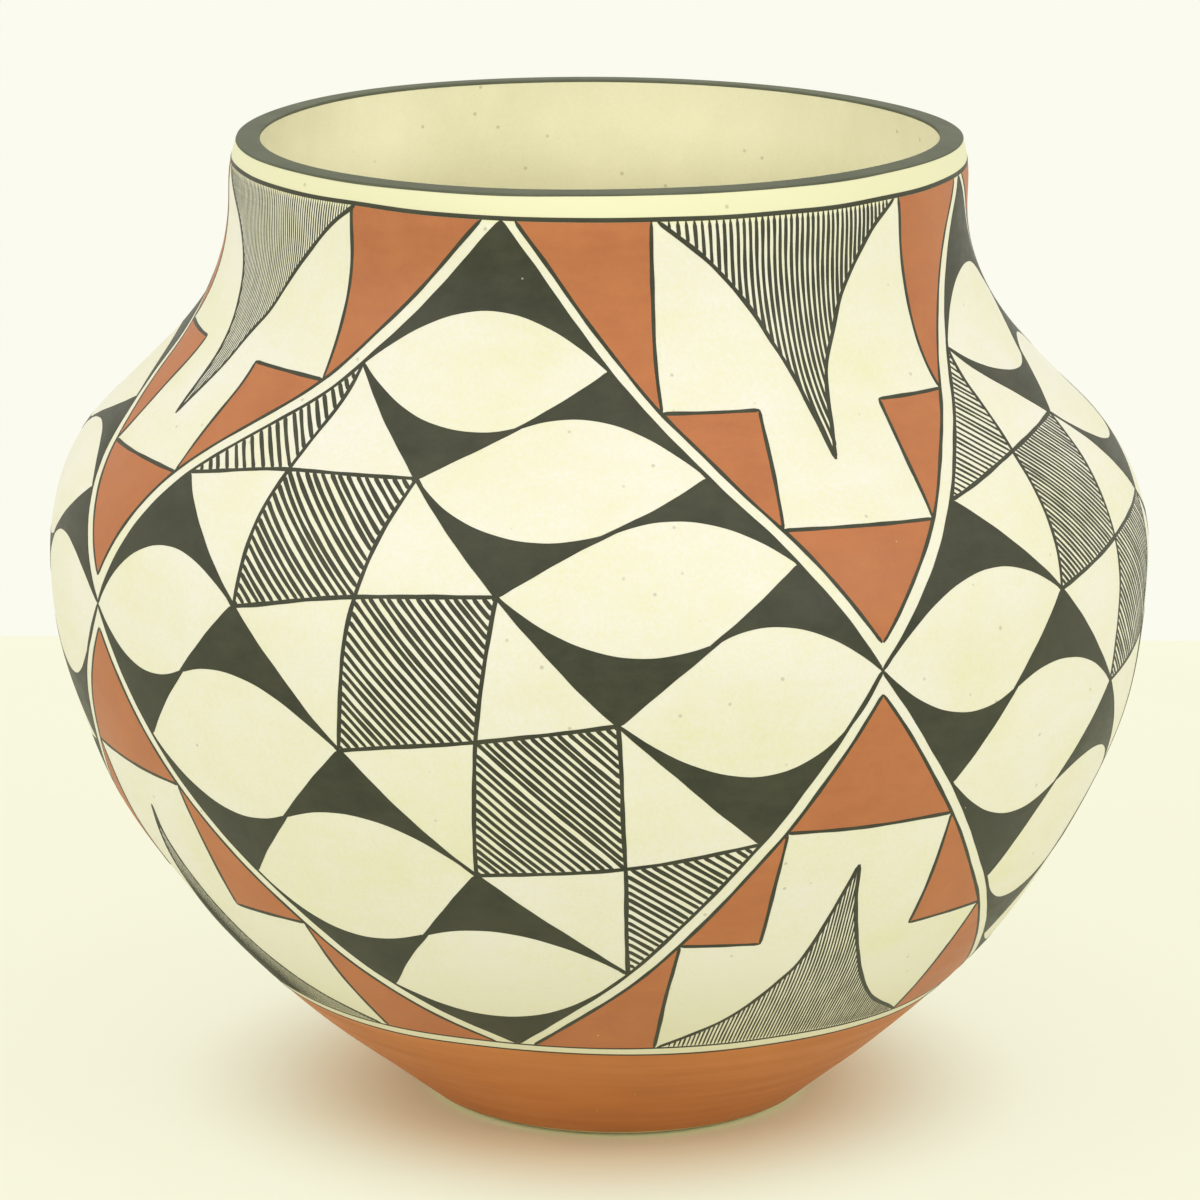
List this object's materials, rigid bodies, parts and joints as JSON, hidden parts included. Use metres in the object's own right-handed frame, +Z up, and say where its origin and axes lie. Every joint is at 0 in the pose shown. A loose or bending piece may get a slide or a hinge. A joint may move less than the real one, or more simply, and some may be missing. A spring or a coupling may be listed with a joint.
{
  "type": "pueblo pottery jar",
  "caption": "Round hand-coiled storage jar with a wide belly, low concave neck, open mouth and painted geometric slip.",
  "frame": {"origin": "under the middle of the resting ring, on the surface that the jar stands on", "axes": "+Z up along the jar's axis; -Y is the side with the pictured diamond"},
  "size_m": [0.2402, 0.2402, 0.214],
  "materials": {
    "fired_clay": "matt, scraped by hand",
    "cream_slip": "matt, stone polished slip",
    "red_slip": "matt, wiped on",
    "orange_paint": "matt mineral paint",
    "black_paint": "matt mineral paint",
    "fine_hatching": "fine black brush lines on cream slip"
  },
  "bodies": {
    "root": {"base": "fired_clay", "coil_course_01": "fired_clay", "coil_course_02": "fired_clay", "coil_course_03": "fired_clay", "coil_course_04": "fired_clay", "coil_course_05": "fired_clay", "coil_course_06": "fired_clay", "coil_course_07": "fired_clay", "coil_course_08": "fired_clay", "coil_course_09": "fired_clay", "rim_coil": "fired_clay", "cream_slip_coat": "cream_slip", "neck_inside_slip": "cream_slip", "red_slip_coat": "red_slip", "rim_paint": "black_paint", "neck_line": "black_paint", "base_line_upper": "black_paint", "base_line_lower": "black_paint", "leaf_grounds": "black_paint", "diamond_lines": "black_paint", "diamond_hatching": "fine_hatching", "neck_panel_hatching": "fine_hatching", "foot_panel_hatching": "fine_hatching", "neck_panel_fields": "orange_paint", "foot_panel_fields": "orange_paint"}
  },
  "joints": []
}
